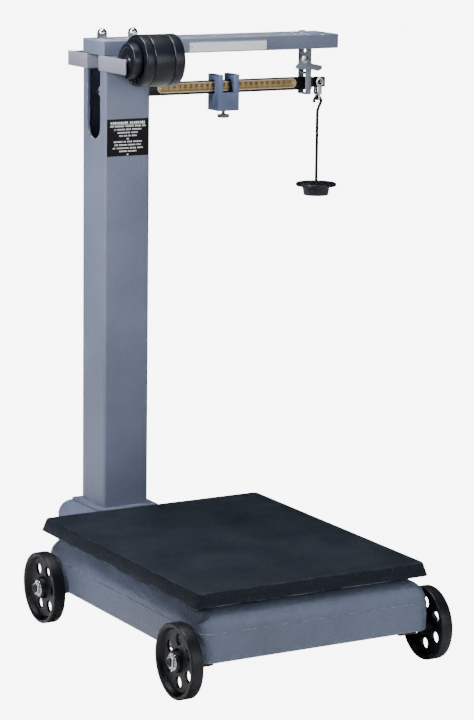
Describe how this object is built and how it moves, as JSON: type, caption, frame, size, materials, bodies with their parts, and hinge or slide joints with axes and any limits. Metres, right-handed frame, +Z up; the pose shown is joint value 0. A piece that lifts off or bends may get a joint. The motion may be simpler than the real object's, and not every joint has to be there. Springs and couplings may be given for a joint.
{
  "type": "portable platform beam scale",
  "caption": "Wheeled cast base with a black platform, square pillar at the back and an overhead shelf carrying a graduated beam, sliding poise, counterpoise hanger and slotted weights",
  "frame": {"origin": "on the floor under the middle of the whole scale's bounding box", "axes": "+X to the right along the beam, +Y back from the platform towards the pillar, +Z up"},
  "size_m": [0.799, 0.9144, 1.2103],
  "materials": {
    "grey_paint": "satin blue-grey enamel on cast iron and sheet steel",
    "light_paint": "satin light grey enamel",
    "black_iron": "black enamel over cast iron, slightly pebbled",
    "wheel_iron": "black painted cast iron",
    "dark_iron": "dark painted cast iron",
    "black_paint": "black enamel",
    "dark_steel": "oiled mill steel",
    "bright_steel": "bright plated steel",
    "zinc": "dull zinc plate",
    "blue_zinc": "bluish zinc die casting",
    "brass": "engraved brass, matt",
    "nameplate": "blank satin aluminium",
    "label": "black printed film with blank bars",
    "red_primer": "dark red primer on cast iron"
  },
  "bodies": {
    "scale_base": {"base_casting": "grey_paint", "front_axle": "dark_steel", "rear_axle": "dark_steel", "axle_brackets": "red_primer", "bracket_bolts": "dark_steel", "axle_spacers": "dark_steel", "axle_washers": "bright_steel", "axle_nuts": "bright_steel", "lever_stands": "dark_iron", "stand_bolts": "dark_steel", "pillar": "grey_paint", "pillar_foot": "grey_paint", "foot_bolts": "grey_paint", "instruction_label": "label", "weight_rack": "light_paint", "rack_screws": "dark_steel", "weight_pegs": "dark_steel", "shelf_channel": "grey_paint", "nameplate": "nameplate", "nameplate_rivets": "bright_steel", "fulcrum_stand": "zinc", "fulcrum_bearings": "bright_steel", "shelf_studs": "zinc", "shelf_nuts": "bright_steel", "trig_loop": "zinc", "latch_screw": "bright_steel"},
    "front_left_wheel": {"wheel_front_left": "wheel_iron"},
    "front_right_wheel": {"wheel_front_right": "wheel_iron"},
    "rear_left_wheel": {"wheel_rear_left": "wheel_iron"},
    "rear_right_wheel": {"wheel_rear_right": "wheel_iron"},
    "beam": {"beam_bar": "black_paint", "scale_plate": "brass", "scale_rivets": "brass", "fulcrum_pivot": "bright_steel", "load_pivot": "bright_steel", "nose_pivot": "bright_steel", "balance_screw": "brass"},
    "balance_ball": {"balance_weight": "brass"},
    "poise": {"poise_block": "blue_zinc"},
    "thumb_screw": {"poise_screw": "zinc"},
    "beam_shackle": {"nose_loop": "bright_steel"},
    "hanger": {"hanger_rod": "black_paint", "hanger_plate": "black_iron"},
    "latch": {"beam_latch": "zinc"},
    "loose_weight_small": {"small_weight": "black_iron"},
    "loose_weight_1": {"weight_1": "black_iron"},
    "loose_weight_2": {"weight_2": "black_iron"},
    "loose_weight_3": {"weight_3": "black_iron"},
    "steelyard": {"steelyard_rod": "dark_steel", "load_loop": "zinc", "rod_shackle": "zinc"},
    "lever_long": {"long_lever": "dark_iron", "long_lever_pivots": "bright_steel"},
    "lever_short": {"short_lever": "dark_iron", "short_lever_pivots": "bright_steel"},
    "link": {"lever_link": "zinc"},
    "bridge": {"weighbridge": "dark_iron", "weighbridge_bearings": "bright_steel"},
    "platform_plate": {"platform": "black_iron"}
  },
  "joints": [
    {"name": "front_left_spin", "type": "hinge", "parent": "scale_base", "child": "front_left_wheel", "pos_m": [-0.37605, -0.38325, 0.074], "axis": [1, 0, 0], "continuous": true},
    {"name": "front_right_spin", "type": "hinge", "parent": "scale_base", "child": "front_right_wheel", "pos_m": [0.18595, -0.38325, 0.074], "axis": [1, 0, 0], "continuous": true},
    {"name": "rear_left_spin", "type": "hinge", "parent": "scale_base", "child": "rear_left_wheel", "pos_m": [-0.37605, 0.19775, 0.074], "axis": [1, 0, 0], "continuous": true},
    {"name": "rear_right_spin", "type": "hinge", "parent": "scale_base", "child": "rear_right_wheel", "pos_m": [0.18595, 0.19775, 0.074], "axis": [1, 0, 0], "continuous": true},
    {"name": "beam_tilt", "type": "hinge", "parent": "scale_base", "child": "beam", "pos_m": [-0.11305, 0.34225, 1.086], "axis": [0, 1, 0], "range_deg": [-0.8, 0.8]},
    {"name": "balance_adjust", "type": "slide", "parent": "beam", "child": "balance_ball", "axis": [1, 0, 0], "range_m": [-0.006, 0.006]},
    {"name": "poise_slide", "type": "slide", "parent": "beam", "child": "poise", "axis": [1, 0, 0], "range_m": [-0.124, 0.144]},
    {"name": "thumb_screw_turn", "type": "hinge", "parent": "poise", "child": "thumb_screw", "pos_m": [0.11945, 0.34225, 1.02], "axis": [0, 0, 1], "continuous": true},
    {"name": "shackle_swing", "type": "hinge", "parent": "beam", "child": "beam_shackle", "pos_m": [0.35495, 0.34225, 1.086], "axis": [0, 1, 0], "range_deg": [-12, 12]},
    {"name": "hanger_sway", "type": "hinge", "parent": "beam_shackle", "child": "hanger", "pos_m": [0.35495, 0.34225, 1.0484], "axis": [1, 0, 0], "range_deg": [-15, 15]},
    {"name": "latch_swing", "type": "hinge", "parent": "scale_base", "child": "latch", "pos_m": [0.30695, 0.32325, 1.133], "axis": [0, 1, 0], "range_deg": [0, 19]},
    {"name": "small_weight_lift", "type": "slide", "parent": "scale_base", "child": "loose_weight_small", "axis": [0, 0, 1], "range_m": [0, 0.15]},
    {"name": "weight_1_lift", "type": "slide", "parent": "scale_base", "child": "loose_weight_1", "axis": [0, 0, 1], "range_m": [0, 0.15]},
    {"name": "weight_2_lift", "type": "slide", "parent": "scale_base", "child": "loose_weight_2", "axis": [0, 0, 1], "range_m": [0, 0.15]},
    {"name": "weight_3_lift", "type": "slide", "parent": "scale_base", "child": "loose_weight_3", "axis": [0, 0, 1], "range_m": [0, 0.15]},
    {"name": "steelyard_lift", "type": "slide", "parent": "scale_base", "child": "steelyard", "axis": [0, 0, 1], "range_m": [-0.0004, 0.0004]},
    {"name": "long_lever_tilt", "type": "hinge", "parent": "scale_base", "child": "lever_long", "pos_m": [-0.13805, -0.36025, 0.13], "axis": [1, 0, 0], "range_deg": [-0.03, 0.03]},
    {"name": "short_lever_tilt", "type": "hinge", "parent": "scale_base", "child": "lever_short", "pos_m": [-0.13805, 0.18975, 0.13], "axis": [1, 0, 0], "range_deg": [-0.03, 0.03]},
    {"name": "link_lift", "type": "slide", "parent": "scale_base", "child": "link", "axis": [0, 0, 1], "range_m": [-0.00015, 0.00015]},
    {"name": "weighbridge_lift", "type": "slide", "parent": "scale_base", "child": "bridge", "axis": [0, 0, 1], "range_m": [0, 0.05]},
    {"name": "platform_lift", "type": "slide", "parent": "bridge", "child": "platform_plate", "axis": [0, 0, 1], "range_m": [0, 0.1]}
  ],
  "couplings": [
    {"joint": "steelyard_lift", "follows": "beam_tilt", "m_per_rad": 0.025},
    {"joint": "long_lever_tilt", "follows": "beam_tilt", "ratio": 0.035587},
    {"joint": "short_lever_tilt", "follows": "beam_tilt", "ratio": -0.035587},
    {"joint": "link_lift", "follows": "beam_tilt", "m_per_rad": 0.009786}
  ]
}
